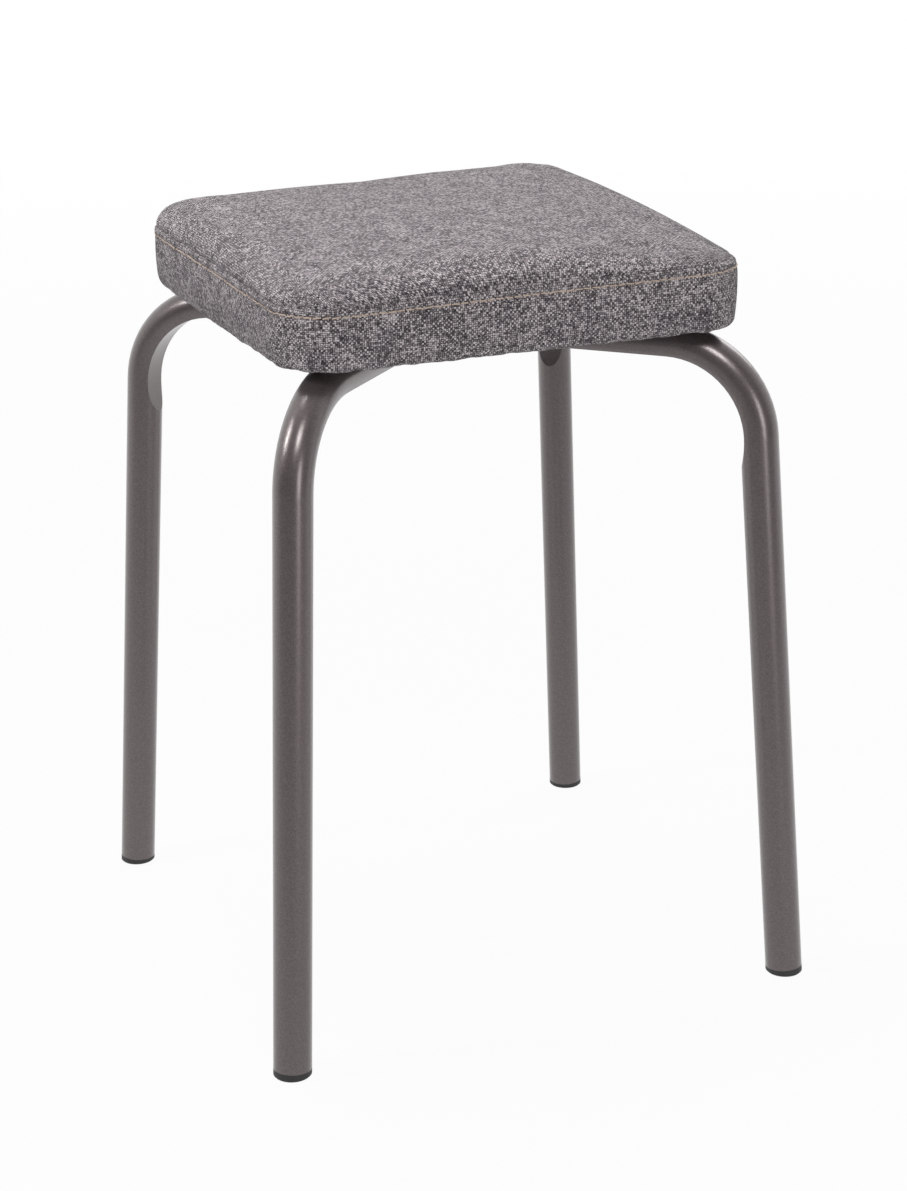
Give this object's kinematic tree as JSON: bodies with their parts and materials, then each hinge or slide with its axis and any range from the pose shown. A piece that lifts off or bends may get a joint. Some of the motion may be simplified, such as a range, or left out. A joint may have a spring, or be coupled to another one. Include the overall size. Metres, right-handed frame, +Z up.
{
  "type": "stacking stool",
  "caption": "Square upholstered stool on crossed bent-tube leg hoops that splay past the seat's corners, so that like stools stack.",
  "frame": {"origin": "on the floor, midway between the four feet", "axes": "+Z up; the seat's sides along X and Y; front towards -Y"},
  "size_m": [0.338, 0.338, 0.453],
  "materials": {
    "frame_paint": "satin metallic powder paint, dark grey",
    "black_plastic": "matt moulded",
    "seat_fabric": "woven, heathered grey",
    "foam": "cut polyurethane foam",
    "lining_cloth": "black non-woven",
    "plywood": "plain plywood",
    "zinc_steel": "zinc plated"
  },
  "bodies": {
    "root": {"cover_side_band": "seat_fabric", "cover_top_panel": "seat_fabric", "crossing_screw": "zinc_steel", "crossing_washer": "zinc_steel", "foam_pad": "foam", "foot_plug_front_left": "black_plastic", "foot_plug_front_right": "black_plastic", "foot_plug_rear_left": "black_plastic", "foot_plug_rear_right": "black_plastic", "lower_leg_hoop": "frame_paint", "saddle_front_left": "black_plastic", "saddle_front_right": "black_plastic", "saddle_rear_left": "black_plastic", "saddle_rear_right": "black_plastic", "seat_board": "plywood", "seat_screw_front_left": "zinc_steel", "seat_screw_front_right": "zinc_steel", "seat_screw_rear_left": "zinc_steel", "seat_screw_rear_right": "zinc_steel", "tee_nut_front_left": "zinc_steel", "tee_nut_front_right": "zinc_steel", "tee_nut_middle": "zinc_steel", "tee_nut_rear_left": "zinc_steel", "tee_nut_rear_right": "zinc_steel", "underside_lining": "lining_cloth", "upper_leg_hoop": "frame_paint"}
  },
  "joints": []
}
